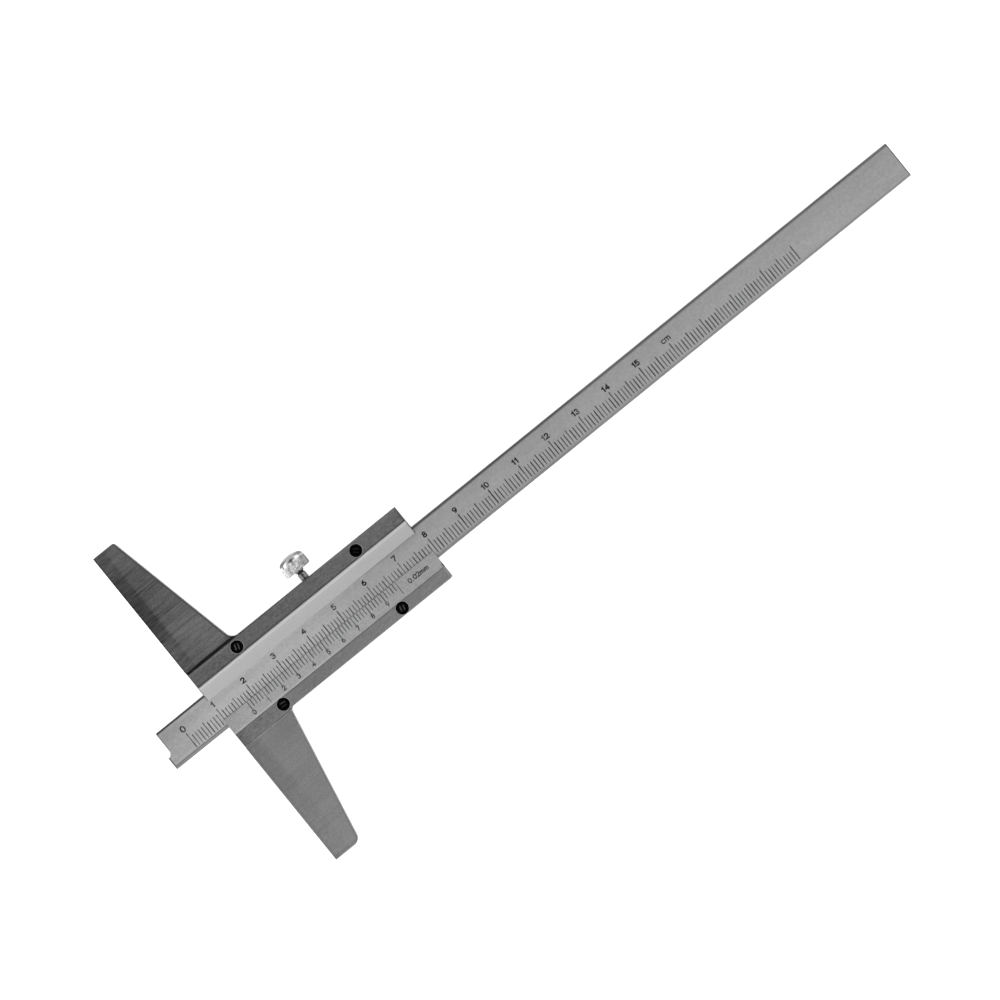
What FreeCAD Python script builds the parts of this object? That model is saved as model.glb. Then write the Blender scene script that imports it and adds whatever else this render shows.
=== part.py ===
import FreeCAD, Part
import math
import os

# Vernier depth gauge, 0-150 mm by 0.02 mm, lying on its back.
#
# Frame of the part, in millimetres:
#   X  along the graduated beam, from the measuring face (x = 0) to the far end
#   Y  along the measuring base, towards the side that carries the clamp screw
#   Z  out of the graduated front, z = 0 is the back plane that it lies on
# The origin is on the measuring face, on the beam's centre line, at the back plane.

V = FreeCAD.Vector

# ---------------------------------------------------------------- dimensions
# beam (the sliding depth rod)
BEAM_HALF_W = 5.32       # half of the 10.64 mm width
BEAM_T = 3.0             # thickness
BEAM_TIP_X = -17.3       # probe end, so the stored pose reads 17.3 mm
BEAM_END_X = 226.2       # far end
TIP_STEP_Y = -1.7        # upper edge of the narrow probe end
TIP_STEP_X = 1.4         # length of the narrow probe end
TIP_COVE_R = 1.3         # concave quarter round between probe end and shoulder
BEAM_BEVEL_UP = (0.57, 0.33)    # width, depth of the bevel on the +Y front edge
BEAM_BEVEL_LO = (1.00, 0.28)    # width, depth of the bevel on the -Y front edge
BEAM_END_CH = 0.30       # chamfer on the end edges

# frame with the measuring base, one piece
SLIDE_LEN = 68.85        # length of the slider part
SLIDE_Y_LO = -11.4       # slider outer side, vernier side
SLIDE_Y_HI = 12.05       # slider outer side, clamp screw side
BASE_Y_LO = -49.2        # base tips, 99.6 mm apart
BASE_Y_HI = 50.4
BASE_T = 7.3             # thickness of the base wings
TIP_LO_X = 7.75          # wing width at the -Y tip
TIP_HI_X = 6.60          # wing width at the +Y tip
ROOT_LO_X = 15.43        # trailing edge where it meets the slider, -Y side
ROOT_HI_X = 14.85        # the same, +Y side
TIP_LO_R = 2.0
TIP_HI_R = 0.7
ROOT_LO_R = 1.3
ROOT_HI_R = 2.4
FACE_BEVEL = (4.0, 0.25)  # width, depth of the shallow bevel beside the measuring face
FACE_CH = 0.20           # broken edge of the measuring face
EDGE_CH = 0.40           # chamfer on the outline edges
SEAT_Z = 5.6             # seat of the two plates, top of the channel walls
CHAN_FLOOR = 2.5         # floor of the beam channel
RUN_SIDE = 0.05          # running clearance at each side of the beam
RUN_Z = 0.05             # running clearance under and over the beam
WALL_HI = 12.45          # step wall of the upper wing, beside the upper plate
WALL_LO = -11.76         # step wall of the lower wing, beside the lower plate
POCKET_X = (15.4, 63.4)  # pocket of the leaf spring
POCKET_Y = 6.5

# plates
PLATE_X0 = 0.1           # the plates stand back a little from the measuring face
GUIDE_OUT_Y = 11.80      # outer edge of the guide plate
GUIDE_END_X = 68.8
VERN_OUT_Y = -11.3       # outer edge of the vernier plate
VERN_TAB_Y = -11.72      # the same beside the lower wing, where the plate fills the step
VERN_TAB_X = 15.2
VERN_END_X = 69.35
FLANGE_Z = 7.3           # top of the outer flanges
BAND_Z = 7.7             # top of the raised bands
GUIDE_IN_Y = 3.4         # inner edge of the guide plate, over the beam
GUIDE_STEP_Y = 7.5       # step from band to flange
VERN_IN_Y = -2.95        # inner, bevelled edge of the vernier plate
VERN_STEP_Y = -7.9
VERN_LIP = 0.55          # thickness at the bevelled edge
VERN_LAND = 0.35         # flat land beside the step

# screws of the plates
SCREW_X = (14.65, 54.05)
SCREW_Y = {1: 9.55, -1: 9.45}   # distance from the beam's centre line
HEAD_R = 1.58
CBORE_R = 1.70
CBORE_CH = 0.12
CBORE_Z = 6.25
HEAD_TOP = 7.22
SHANK_R = 1.00
SHANK_HOLE_R = 1.10      # clearance hole in the plate
TAP_R = 1.02             # tapped hole in the frame
SHANK_END = 2.9
TAP_END = 2.3
SLOT_W = 0.55
SLOT_D = 0.50

# clamp screw
CL_X = 39.35
CL_Z = 4.0
CL_STEM_R = 1.175
CL_HOLE_R = 1.25
CL_TIP_Y = 5.92
CL_HEAD_Y0 = 14.85       # underside of the head
CL_HEAD_Y1 = 17.68       # top of the knurled rim
CL_HEAD_R = 3.72
CL_SHOULDER_R = 1.585    # rounding between rim and dome
CL_DOME_A = 20.0         # where shoulder and dome meet, degrees from the axis
CL_COLLAR_R = 1.30       # short collar under the head
CL_NECK_R = 1.00         # groove below the collar

# leaf spring
SP_T = 0.35
SP_H = 2.7
SP_X = (15.7, 63.1)
SP_FOOT = 4.0
SP_TOP_Y = 5.48          # closest face to the beam, at mid length


# ---------------------------------------------------------------- helpers
def rounded(pts):
    """Closed face in the XY plane from (x, y, radius) corners."""
    n = len(pts)
    segs = []
    ends = []
    for i in range(n):
        x, y, r = pts[i]
        px, py, _ = pts[i - 1]
        qx, qy, _ = pts[(i + 1) % n]
        p = V(x, y, 0)
        a = V(px - x, py - y, 0)
        b = V(qx - x, qy - y, 0)
        a.normalize()
        b.normalize()
        if r <= 0:
            ends.append((p, None, p))
            continue
        half = math.acos(max(-1.0, min(1.0, a.dot(b)))) / 2
        t = r / math.tan(half)
        t0 = p + a * t
        t1 = p + b * t
        bis = a + b
        bis.normalize()
        mid = p + bis * (r / math.sin(half) - r)
        ends.append((t0, mid, t1))
    for i in range(n):
        t0, mid, t1 = ends[i]
        if mid is not None:
            segs.append(Part.Arc(t0, mid, t1).toShape())
        nxt = ends[(i + 1) % n][0]
        segs.append(Part.LineSegment(t1, nxt).toShape())
    return Part.Face(Part.Wire(segs))


def box(x0, x1, y0, y1, z0, z1):
    return Part.makeBox(x1 - x0, y1 - y0, z1 - z0, V(x0, y0, z0))


def prism_x(profile, x0, x1):
    """Profile of (y, z) points, extruded along X."""
    w = Part.makePolygon([V(x0, y, z) for y, z in profile] + [V(x0, profile[0][0], profile[0][1])])
    return Part.Face(w).extrude(V(x1 - x0, 0, 0))


def prism_y(profile, y0, y1):
    """Profile of (x, z) points, extruded along Y."""
    w = Part.makePolygon([V(x, y0, z) for x, z in profile] + [V(profile[0][0], y0, profile[0][1])])
    return Part.Face(w).extrude(V(0, y1 - y0, 0))


def pick(shape, test):
    out = []
    for e in shape.Edges:
        ps = [v.Point for v in e.Vertexes]
        ps.append(e.valueAt((e.FirstParameter + e.LastParameter) / 2))
        if all(test(p) for p in ps):
            out.append(e)
    return out


def near(a, b, tol=1e-4):
    return abs(a - b) < tol


def save(shape, name):
    s = shape.removeSplitter() if shape.ShapeType in ("Solid", "Compound", "Shell") else shape
    if s.ShapeType == "Compound" and len(s.Solids) == 1:
        s = s.Solids[0]
    assert s.isValid(), name
    assert len(s.Solids) == 1, (name, len(s.Solids))
    s.exportStep(os.path.join("parts", name + ".step"))
    b = s.BoundBox
    print("%-22s vol %9.2f  x %.2f..%.2f  y %.2f..%.2f  z %.2f..%.2f" % (
        name, s.Volume, b.XMin, b.XMax, b.YMin, b.YMax, b.ZMin, b.ZMax))
    return s


# ---------------------------------------------------------------- beam
def make_beam():
    z0 = CHAN_FLOOR + RUN_Z
    z1 = z0 + BEAM_T
    w = BEAM_HALF_W
    xs = BEAM_TIP_X + TIP_STEP_X          # shoulder
    cx = xs - TIP_COVE_R                  # centre of the cove
    cy = TIP_STEP_Y + TIP_COVE_R
    s = TIP_COVE_R * math.sqrt(0.5)
    pts = [
        Part.LineSegment(V(BEAM_TIP_X, -w, z0), V(BEAM_TIP_X, TIP_STEP_Y, z0)),
        Part.LineSegment(V(BEAM_TIP_X, TIP_STEP_Y, z0), V(cx, TIP_STEP_Y, z0)),
        Part.Arc(V(cx, TIP_STEP_Y, z0), V(cx + s, cy - s, z0), V(xs, cy, z0)),
        Part.LineSegment(V(xs, cy, z0), V(xs, w, z0)),
        Part.LineSegment(V(xs, w, z0), V(BEAM_END_X, w, z0)),
        Part.LineSegment(V(BEAM_END_X, w, z0), V(BEAM_END_X, -w, z0)),
        Part.LineSegment(V(BEAM_END_X, -w, z0), V(BEAM_TIP_X, -w, z0)),
    ]
    face = Part.Face(Part.Wire([p.toShape() for p in pts]))
    body = face.extrude(V(0, 0, BEAM_T))

    # long bevels on the front edges and small breaks on the back edges
    e = 1.0
    bw, bd = BEAM_BEVEL_UP
    up = prism_x([(w - bw, z1), (w + e, z1 - bd * (bw + e) / bw), (w + e, z1 + e), (w - bw, z1 + e)],
                 BEAM_TIP_X - e, BEAM_END_X + e)
    bw, bd = BEAM_BEVEL_LO
    lo = prism_x([(-w + bw, z1), (-w + bw, z1 + e), (-w - e, z1 + e), (-w - e, z1 - bd * (bw + e) / bw)],
                 BEAM_TIP_X - e, BEAM_END_X + e)
    k = 0.25
    b1 = prism_x([(w - k, z0), (w + e, z0 + k + e), (w + e, z0 - e), (w - k, z0 - e)],
                 BEAM_TIP_X - e, BEAM_END_X + e)
    b2 = prism_x([(-w + k, z0), (-w + k, z0 - e), (-w - e, z0 - e), (-w - e, z0 + k + e)],
                 BEAM_TIP_X - e, BEAM_END_X + e)
    body = body.cut(up).cut(lo).cut(b1).cut(b2)
    # chamfers on the front edges of the two ends and of the cove
    c = BEAM_END_CH
    far = prism_y([(BEAM_END_X - c, z1), (BEAM_END_X + e, z1 - c - e), (BEAM_END_X + e, z1 + e), (BEAM_END_X - c, z1 + e)],
                  -w - e, w + e)
    far2 = prism_y([(BEAM_END_X - c, z0), (BEAM_END_X + e, z0 + c + e), (BEAM_END_X + e, z0 - e), (BEAM_END_X - c, z0 - e)],
                   -w - e, w + e)
    ct = 0.45
    tip = prism_y([(BEAM_TIP_X + ct, z1), (BEAM_TIP_X + ct, z1 + e), (BEAM_TIP_X - e, z1 + e), (BEAM_TIP_X - e, z1 - (ct + e) * 0.6)],
                  -w - e, TIP_STEP_Y + 0.0001)
    sh = prism_y([(xs + c, z1), (xs + c, z1 + e), (xs - e, z1 + e), (xs - e, z1 - c - e)],
                 cy - 0.0001, w + e)
    body = body.cut(far).cut(far2).cut(tip).cut(sh)
    return body


# ---------------------------------------------------------------- frame
def make_frame():
    outline = rounded([
        (0.0, BASE_Y_LO, 0),
        (TIP_LO_X, BASE_Y_LO, TIP_LO_R),
        (ROOT_LO_X, SLIDE_Y_LO, ROOT_LO_R),
        (SLIDE_LEN, SLIDE_Y_LO, 0),
        (SLIDE_LEN, SLIDE_Y_HI, 0),
        (ROOT_HI_X, SLIDE_Y_HI, ROOT_HI_R),
        (TIP_HI_X, BASE_Y_HI, TIP_HI_R),
        (0.0, BASE_Y_HI, 0),
    ])
    body = outline.extrude(V(0, 0, BASE_T))
    # outline chamfers on the front and the back, except along the measuring face
    for z in (BASE_T, 0.0):
        edges = [e for e in pick(body, lambda p: near(p.z, z))
                 if not all(near(v.Point.x, 0.0) for v in e.Vertexes)]
        body = body.makeChamfer(EDGE_CH, edges)
    # shallow bevel of the front beside the measuring face, and its broken edge
    bw, bd = FACE_BEVEL
    ya, yb = BASE_Y_LO - 1, BASE_Y_HI + 1
    body = body.cut(prism_y([(bw, BASE_T), (-1.0, BASE_T - bd * (bw + 1.0) / bw), (-1.0, BASE_T + 1), (bw, BASE_T + 1)], ya, yb))
    zf = BASE_T - bd
    body = body.cut(prism_y([(FACE_CH, zf + bd * FACE_CH / bw), (-1.0, zf + bd * FACE_CH / bw - FACE_CH - 1.0), (-1.0, zf + 1)], ya, yb))

    # seat of the plates, between the two wings
    body = body.cut(box(-1, SLIDE_LEN + 1, WALL_LO, WALL_HI, SEAT_Z, BASE_T + 1))
    # broken edges along the step walls of the wings
    y0 = WALL_LO
    k = 0.28
    body = body.cut(prism_x([(y0 + 0.01, BASE_T - k - 0.01), (y0 + 0.01, BASE_T + 1), (y0 - k - 1.0, BASE_T + 1), (y0 - k, BASE_T)],
                            -1, 20))
    y1 = WALL_HI
    k = 0.12
    body = body.cut(prism_x([(y1 - 0.01, BASE_T - k - 0.01), (y1 + k, BASE_T), (y1 + k + 1.0, BASE_T + 1), (y1 - 0.01, BASE_T + 1)],
                            -1, 20))
    # channel of the beam
    h = BEAM_HALF_W + RUN_SIDE
    body = body.cut(box(-1, SLIDE_LEN + 1, -h, h, CHAN_FLOOR, SEAT_Z + 1))
    # pocket of the leaf spring in the upper wall
    body = body.cut(box(POCKET_X[0], POCKET_X[1], h - 0.5, POCKET_Y, CHAN_FLOOR, SEAT_Z + 1))
    # threaded hole of the clamp screw, with a small countersink outside
    body = body.cut(Part.makeCylinder(CL_HOLE_R, 10, V(CL_X, 5.6, CL_Z), V(0, 1, 0)))
    body = body.cut(Part.makeCone(CL_HOLE_R, CL_HOLE_R + 0.35, 0.35, V(CL_X, SLIDE_Y_HI - 0.35, CL_Z), V(0, 1, 0)))
    # tapped holes of the plate screws
    for x in SCREW_X:
        for s in (-1, 1):
            body = body.cut(Part.makeCylinder(TAP_R, 5, V(x, s * SCREW_Y[s], TAP_END), V(0, 0, 1)))
    return body


# ---------------------------------------------------------------- plates
def drill_plate(p, s):
    for x in SCREW_X:
        y = s * SCREW_Y[s]
        p = p.cut(Part.makeCylinder(SHANK_HOLE_R, 4, V(x, y, SEAT_Z - 1), V(0, 0, 1)))
        p = p.cut(Part.makeCylinder(CBORE_R, 3, V(x, y, CBORE_Z), V(0, 0, 1)))
        # light break round the counterbore
        p = p.cut(Part.makeCone(CBORE_R, CBORE_R + CBORE_CH, CBORE_CH, V(x, y, FLANGE_Z - CBORE_CH), V(0, 0, 1)))
    return p


def end_breaks(p, x1, c0, c1):
    e = 2.0
    z = BAND_Z
    a = prism_y([(PLATE_X0 + c0, z), (PLATE_X0 + c0, z + e), (PLATE_X0 - e, z + e), (PLATE_X0 - e, z - c0 - e)], -20, 20)
    b = prism_y([(x1 - c1, z), (x1 + e, z - c1 - e), (x1 + e, z + e), (x1 - c1, z + e)], -20, 20)
    return p.cut(a).cut(b)


def make_guide_plate():
    c = 0.22
    prof = [
        (GUIDE_IN_Y, SEAT_Z),
        (GUIDE_OUT_Y, SEAT_Z),
        (GUIDE_OUT_Y, FLANGE_Z - 0.14),
        (GUIDE_OUT_Y - 0.14, FLANGE_Z),
        (GUIDE_STEP_Y, FLANGE_Z),
        (GUIDE_STEP_Y, BAND_Z - c),
        (GUIDE_STEP_Y - c, BAND_Z),
        (GUIDE_IN_Y + 0.12, BAND_Z),
        (GUIDE_IN_Y, BAND_Z - 0.12),
    ]
    p = prism_x(prof, PLATE_X0, GUIDE_END_X)
    p = end_breaks(p, GUIDE_END_X, 0.15, 0.15)
    return drill_plate(p, 1)


def make_vernier_plate():
    c = 0.22
    prof = [
        (VERN_IN_Y, SEAT_Z),
        (VERN_IN_Y, SEAT_Z + VERN_LIP),
        (VERN_STEP_Y + c + VERN_LAND, BAND_Z),
        (VERN_STEP_Y + c, BAND_Z),
        (VERN_STEP_Y, BAND_Z - c),
        (VERN_STEP_Y, FLANGE_Z),
        (VERN_OUT_Y + 0.12, FLANGE_Z),
        (VERN_OUT_Y, FLANGE_Z - 0.12),
        (VERN_OUT_Y, SEAT_Z),
    ]
    p = prism_x(prof, PLATE_X0, VERN_END_X)
    # beside the wing the flange is wider and fills the step
    d = VERN_OUT_Y - VERN_TAB_Y
    tab = [(PLATE_X0, VERN_OUT_Y + 0.3), (PLATE_X0, VERN_TAB_Y), (VERN_TAB_X - d, VERN_TAB_Y),
           (VERN_TAB_X + 0.3, VERN_OUT_Y + 0.3)]
    w = Part.makePolygon([V(x, y, SEAT_Z) for x, y in tab] + [V(tab[0][0], tab[0][1], SEAT_Z)])
    p = p.fuse(Part.Face(w).extrude(V(0, 0, FLANGE_Z - SEAT_Z)))
    p = end_breaks(p, VERN_END_X, 0.15, 0.40)
    return drill_plate(p, -1)


# ---------------------------------------------------------------- small parts
def make_cover_screw(x, y, turn):
    """Slotted cheese-head screw; turn is the slot's angle from the Y axis."""
    head = Part.makeCylinder(HEAD_R, HEAD_TOP - CBORE_Z, V(x, y, CBORE_Z), V(0, 0, 1))
    head = head.makeChamfer(0.18, pick(head, lambda p: near(p.z, HEAD_TOP)))
    shank = Part.makeCylinder(SHANK_R, CBORE_Z - SHANK_END + 0.2, V(x, y, SHANK_END), V(0, 0, 1))
    shank = shank.makeChamfer(0.25, pick(shank, lambda p: near(p.z, SHANK_END)))
    s = head.fuse(shank)
    slot = box(-SLOT_W / 2, SLOT_W / 2, -3, 3, HEAD_TOP - SLOT_D, HEAD_TOP + 1)
    slot.rotate(V(0, 0, 0), V(0, 0, 1), turn)
    slot.translate(V(x, y, 0))
    return s.cut(slot)


def make_clamp_screw():
    # half profile as (radius, y), turned about the screw's axis along Y
    r, R = CL_STEM_R, CL_HEAD_R
    k = 0.40
    pts = [
        (0.0, CL_TIP_Y),
        (r - 0.35, CL_TIP_Y),
        (r, CL_TIP_Y + 0.35),
        (r, CL_HEAD_Y0 - 0.95),
        (CL_NECK_R, CL_HEAD_Y0 - 0.85),
        (CL_NECK_R, CL_HEAD_Y0 - 0.50),
        (CL_COLLAR_R, CL_HEAD_Y0 - 0.36),
        (CL_COLLAR_R, CL_HEAD_Y0),
        (R - k, CL_HEAD_Y0),
        (R, CL_HEAD_Y0 + k),
        (R, CL_HEAD_Y1),
    ]
    wire = [Part.LineSegment(V(CL_X + a[0], a[1], CL_Z), V(CL_X + b[0], b[1], CL_Z)).toShape()
            for a, b in zip(pts[:-1], pts[1:])]
    # rounded shoulder, then the domed face, tangent to each other
    rs = CL_SHOULDER_R
    a0 = math.radians(CL_DOME_A)

    def shoulder(a):
        return V(CL_X + R - rs + rs * math.sin(a), CL_HEAD_Y1 + rs * math.cos(a), CL_Z)

    rd = rs + (R - rs) / math.sin(a0)
    yc = CL_HEAD_Y1 + rs * math.cos(a0) - rd * math.cos(a0)
    crown = V(CL_X, yc + rd, CL_Z)
    wire.append(Part.Arc(shoulder(math.pi / 2), shoulder((math.pi / 2 + a0) / 2), shoulder(a0)).toShape())
    wire.append(Part.Arc(shoulder(a0), V(CL_X + rd * math.sin(a0 / 2), yc + rd * math.cos(a0 / 2), CL_Z), crown).toShape())
    wire.append(Part.LineSegment(crown, V(CL_X, CL_TIP_Y, CL_Z)).toShape())
    return Part.Face(Part.Wire(wire)).revolve(V(CL_X, 0, CL_Z), V(0, 1, 0), 360)


def make_leaf_spring():
    # bowed strip: two flat feet on the pocket wall, the middle towards the beam
    y_wall = POCKET_Y
    n = 12
    x0, x1 = SP_X[0] + SP_FOOT, SP_X[1] - SP_FOOT
    rise = (y_wall - SP_T) - SP_TOP_Y
    inner = [(SP_X[0], y_wall - SP_T)]
    outer = [(SP_X[0], y_wall)]
    for i in range(n + 1):
        t = i / n
        y = (y_wall - SP_T) - rise * 0.5 * (1 - math.cos(2 * math.pi * t))
        x = x0 + (x1 - x0) * t
        inner.append((x, y))
        outer.append((x, y + SP_T))
    inner.append((SP_X[1], y_wall - SP_T))
    outer.append((SP_X[1], y_wall))
    loop = inner + outer[::-1]
    w = Part.makePolygon([V(x, y, CHAN_FLOOR) for x, y in loop] + [V(loop[0][0], loop[0][1], CHAN_FLOOR)])
    return Part.Face(w).extrude(V(0, 0, SP_H))


# ---------------------------------------------------------------- build
os.makedirs("parts", exist_ok=True)
made = {}
made["beam"] = save(make_beam(), "beam")
made["base_frame"] = save(make_frame(), "base_frame")
made["guide_plate"] = save(make_guide_plate(), "guide_plate")
made["vernier_plate"] = save(make_vernier_plate(), "vernier_plate")
made["leaf_spring"] = save(make_leaf_spring(), "leaf_spring")
made["clamp_screw"] = save(make_clamp_screw(), "clamp_screw")
turns = {"guide_screw_front": (SCREW_X[0], SCREW_Y[1], 8), "guide_screw_rear": (SCREW_X[1], SCREW_Y[1], -14),
         "vernier_screw_front": (SCREW_X[0], -SCREW_Y[-1], 22), "vernier_screw_rear": (SCREW_X[1], -SCREW_Y[-1], -11)}
for name, (x, y, t) in turns.items():
    made[name] = save(make_cover_screw(x, y, t), name)

vol = sum(s.Volume for s in made.values())
com = V(0, 0, 0)
for s in made.values():
    com += s.CenterOfMass * s.Volume
com = com * (1.0 / vol)
print("total volume %.1f mm3, mass in steel %.4f kg, centre %.1f %.1f %.1f" % (vol, vol * 7.85e-6, com.x, com.y, com.z))
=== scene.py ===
import math

import bmesh
import bpy
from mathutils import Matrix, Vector


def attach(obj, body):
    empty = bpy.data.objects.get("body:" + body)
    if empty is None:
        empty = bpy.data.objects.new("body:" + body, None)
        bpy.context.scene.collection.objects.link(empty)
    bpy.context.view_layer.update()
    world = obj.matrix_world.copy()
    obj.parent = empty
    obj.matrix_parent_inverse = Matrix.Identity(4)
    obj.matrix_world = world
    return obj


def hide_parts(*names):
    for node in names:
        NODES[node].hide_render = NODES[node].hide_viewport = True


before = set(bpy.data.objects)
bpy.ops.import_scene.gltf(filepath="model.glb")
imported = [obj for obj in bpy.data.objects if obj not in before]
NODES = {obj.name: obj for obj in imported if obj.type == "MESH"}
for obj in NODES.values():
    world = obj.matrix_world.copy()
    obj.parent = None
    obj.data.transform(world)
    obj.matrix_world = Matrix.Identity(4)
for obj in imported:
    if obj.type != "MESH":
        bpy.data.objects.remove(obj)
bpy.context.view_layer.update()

# Vernier depth gauge. All lengths below are given in millimetres of the part's frame and turned
# into metres when a mesh is made: X along the beam, Y along the measuring base, Z out of the front.

MM = 0.001
S = bpy.context.scene
S.view_settings.view_transform = "Standard"
S.view_settings.look = "None"
S.view_settings.exposure = 0.0
S.view_settings.gamma = 1.0

# ------------------------------------------------------------------ sizes shared with the solids
BEAM_Z = 5.55            # front face of the beam
MAIN_ZERO = -9.65        # zero line of the main scale, in the stored pose
VERN_ZERO = 7.65         # zero line of the vernier
VERN_STEP = 0.98         # 50 parts over 49 mm
VERN_Y0, VERN_Z0 = -2.95, 6.15     # bevelled edge of the vernier plate
VERN_Y1, VERN_Z1 = -7.33, 7.70     # top of the bevel
SCREW_X = (14.65, 54.05)
SCREW_Y_UP, SCREW_Y_LO = 9.55, -9.45
CL_X, CL_Z = 39.35, 4.0            # axis of the clamp screw

# how much light each way of facing mirrors under the studio light below
ENV_FLAT = 0.574
ENV_VERN = 0.448
ENV_UP30 = 0.37
ENV_LO17 = 0.77
ENV_45 = 0.85


def tone(level, env=ENV_FLAT):
    """Base value of a metal that should show at this level (0 to 255) where it mirrors so much light."""
    s = level / 255.0
    return (((s + 0.055) / 1.055) ** 2.4) / env


# ------------------------------------------------------------------ node graphs
class Graph:
    """A small helper round one material's node tree. Every value is in object space, in millimetres."""

    def __init__(self, name, metallic=1.0, rough=0.4):
        self.m = bpy.data.materials.new(name)
        self.m.use_nodes = True
        self.nt = self.m.node_tree
        self.nt.nodes.clear()
        self.out = self.nt.nodes.new("ShaderNodeOutputMaterial")
        self.b = self.nt.nodes.new("ShaderNodeBsdfPrincipled")
        self.nt.links.new(self.b.outputs["BSDF"], self.out.inputs["Surface"])
        self.b.inputs["Metallic"].default_value = metallic
        self.b.inputs["Roughness"].default_value = rough
        tc = self.nt.nodes.new("ShaderNodeTexCoord")
        sc = self.nt.nodes.new("ShaderNodeVectorMath")
        sc.operation = "SCALE"
        sc.inputs["Scale"].default_value = 1000.0
        self.nt.links.new(tc.outputs["Object"], sc.inputs[0])
        self.mm = sc.outputs[0]
        self.x, self.y, self.z = self.split(self.mm)
        self.nx, self.ny, self.nz = self.split(tc.outputs["Normal"])

    def put(self, sock, val):
        if isinstance(val, bpy.types.NodeSocket):
            self.nt.links.new(val, sock)
        else:
            sock.default_value = val

    def split(self, v):
        n = self.nt.nodes.new("ShaderNodeSeparateXYZ")
        self.nt.links.new(v, n.inputs[0])
        return n.outputs[0], n.outputs[1], n.outputs[2]

    def math(self, op, a, b=None, clamp=False):
        n = self.nt.nodes.new("ShaderNodeMath")
        n.operation = op
        n.use_clamp = clamp
        self.put(n.inputs[0], a)
        if b is not None:
            self.put(n.inputs[1], b)
        return n.outputs[0]

    def add(self, *v):
        out = v[0]
        for w in v[1:]:
            out = self.math("ADD", out, w)
        return out

    def sub(self, a, b):
        return self.math("SUBTRACT", a, b)

    def mul(self, *v):
        out = v[0]
        for w in v[1:]:
            out = self.math("MULTIPLY", out, w)
        return out

    def gt(self, a, b):
        return self.math("GREATER_THAN", a, b)

    def lt(self, a, b):
        return self.math("LESS_THAN", a, b)

    def smooth(self, v, lo, hi, a=0.0, b=1.0):
        n = self.nt.nodes.new("ShaderNodeMapRange")
        n.interpolation_type = "SMOOTHSTEP"
        self.put(n.inputs["Value"], v)
        n.inputs["From Min"].default_value = lo
        n.inputs["From Max"].default_value = hi
        n.inputs["To Min"].default_value = a
        n.inputs["To Max"].default_value = b
        return n.outputs["Result"]

    def window(self, v, lo, hi, soft=0.06):
        """1 between lo and hi, 0 outside, with soft ends."""
        return self.mul(self.smooth(v, lo - soft, lo + soft), self.smooth(v, hi - soft, hi + soft, 1.0, 0.0))

    def mix(self, a, b, fac):
        """a where fac is 0, b where fac is 1."""
        return self.add(a, self.mul(self.sub(b, a), fac))

    def fade(self, v, *points):
        """Smooth run through (position, value) points."""
        out = points[0][1]
        for (p0, v0), (p1, v1) in zip(points[:-1], points[1:]):
            out = self.add(out, self.smooth(v, p0, p1, 0.0, v1 - v0))
        return out

    def noise(self, scale, detail=2.0, rough=0.5, offset=(0, 0, 0), distortion=0.0):
        """Noise over millimetres; scale is a frequency for each axis, in 1/mm. Centred on 0, about -0.5 to 0.5."""
        mp = self.nt.nodes.new("ShaderNodeMapping")
        mp.inputs["Scale"].default_value = scale
        mp.inputs["Location"].default_value = offset
        self.nt.links.new(self.mm, mp.inputs["Vector"])
        n = self.nt.nodes.new("ShaderNodeTexNoise")
        n.inputs["Scale"].default_value = 1.0
        n.inputs["Detail"].default_value = detail
        n.inputs["Roughness"].default_value = rough
        n.inputs["Distortion"].default_value = distortion
        self.nt.links.new(mp.outputs[0], n.inputs["Vector"])
        return self.sub(n.outputs["Fac"], 0.5)

    def scratches(self, turn, offset, lo=0.20, hi=0.27):
        """Long thin scratches that run at this angle to X, in degrees; 0 to 1."""
        mp = self.nt.nodes.new("ShaderNodeMapping")
        mp.vector_type = "TEXTURE"
        mp.inputs["Rotation"].default_value = (0.0, 0.0, math.radians(turn))
        mp.inputs["Scale"].default_value = (22.0, 0.20, 400.0)
        mp.inputs["Location"].default_value = offset
        self.nt.links.new(self.mm, mp.inputs["Vector"])
        n = self.nt.nodes.new("ShaderNodeTexNoise")
        n.inputs["Scale"].default_value = 1.0
        n.inputs["Detail"].default_value = 1.0
        self.nt.links.new(mp.outputs[0], n.inputs["Vector"])
        return self.smooth(self.sub(n.outputs["Fac"], 0.5), lo, hi)

    def vary(self, v, *terms):
        """v times 1 + the sum of amplitude * field."""
        return self.mul(v, self.add(1.0, *[self.mul(a, f) for a, f in terms]))

    def colour(self, v, tint=(1.0, 1.0, 1.0)):
        c = self.nt.nodes.new("ShaderNodeCombineColor")
        v = self.math("MAXIMUM", self.math("MINIMUM", v, 0.97), 0.001)
        for i, t in enumerate(tint):
            self.put(c.inputs[i], self.mul(v, t) if t != 1.0 else v)
        self.nt.links.new(c.outputs[0], self.b.inputs["Base Color"])

    def rough(self, v):
        self.put(self.b.inputs["Roughness"], self.math("MAXIMUM", self.math("MINIMUM", v, 0.9), 0.08))

    def bump(self, height, depth_mm, strength=1.0):
        n = self.nt.nodes.new("ShaderNodeBump")
        n.inputs["Strength"].default_value = strength
        n.inputs["Distance"].default_value = depth_mm * MM
        self.put(n.inputs["Height"], height)
        self.nt.links.new(n.outputs["Normal"], self.b.inputs["Normal"])


def grain(g, seed=0.0):
    """Lines of surface grinding along X: fine, middle and coarse fields, all centred on 0."""
    fine = g.noise((0.11, 7.5, 7.5), 3.0, 0.65, (seed, seed * 1.7, 3.1))
    middle = g.noise((0.07, 2.6, 2.6), 2.0, 0.6, (seed + 9.1, 2.2 + seed, 6.3))
    coarse = g.noise((0.05, 0.75, 0.75), 2.0, 0.5, (seed + 4.2, 0.7 + seed, 1.3))
    return fine, middle, coarse


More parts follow.
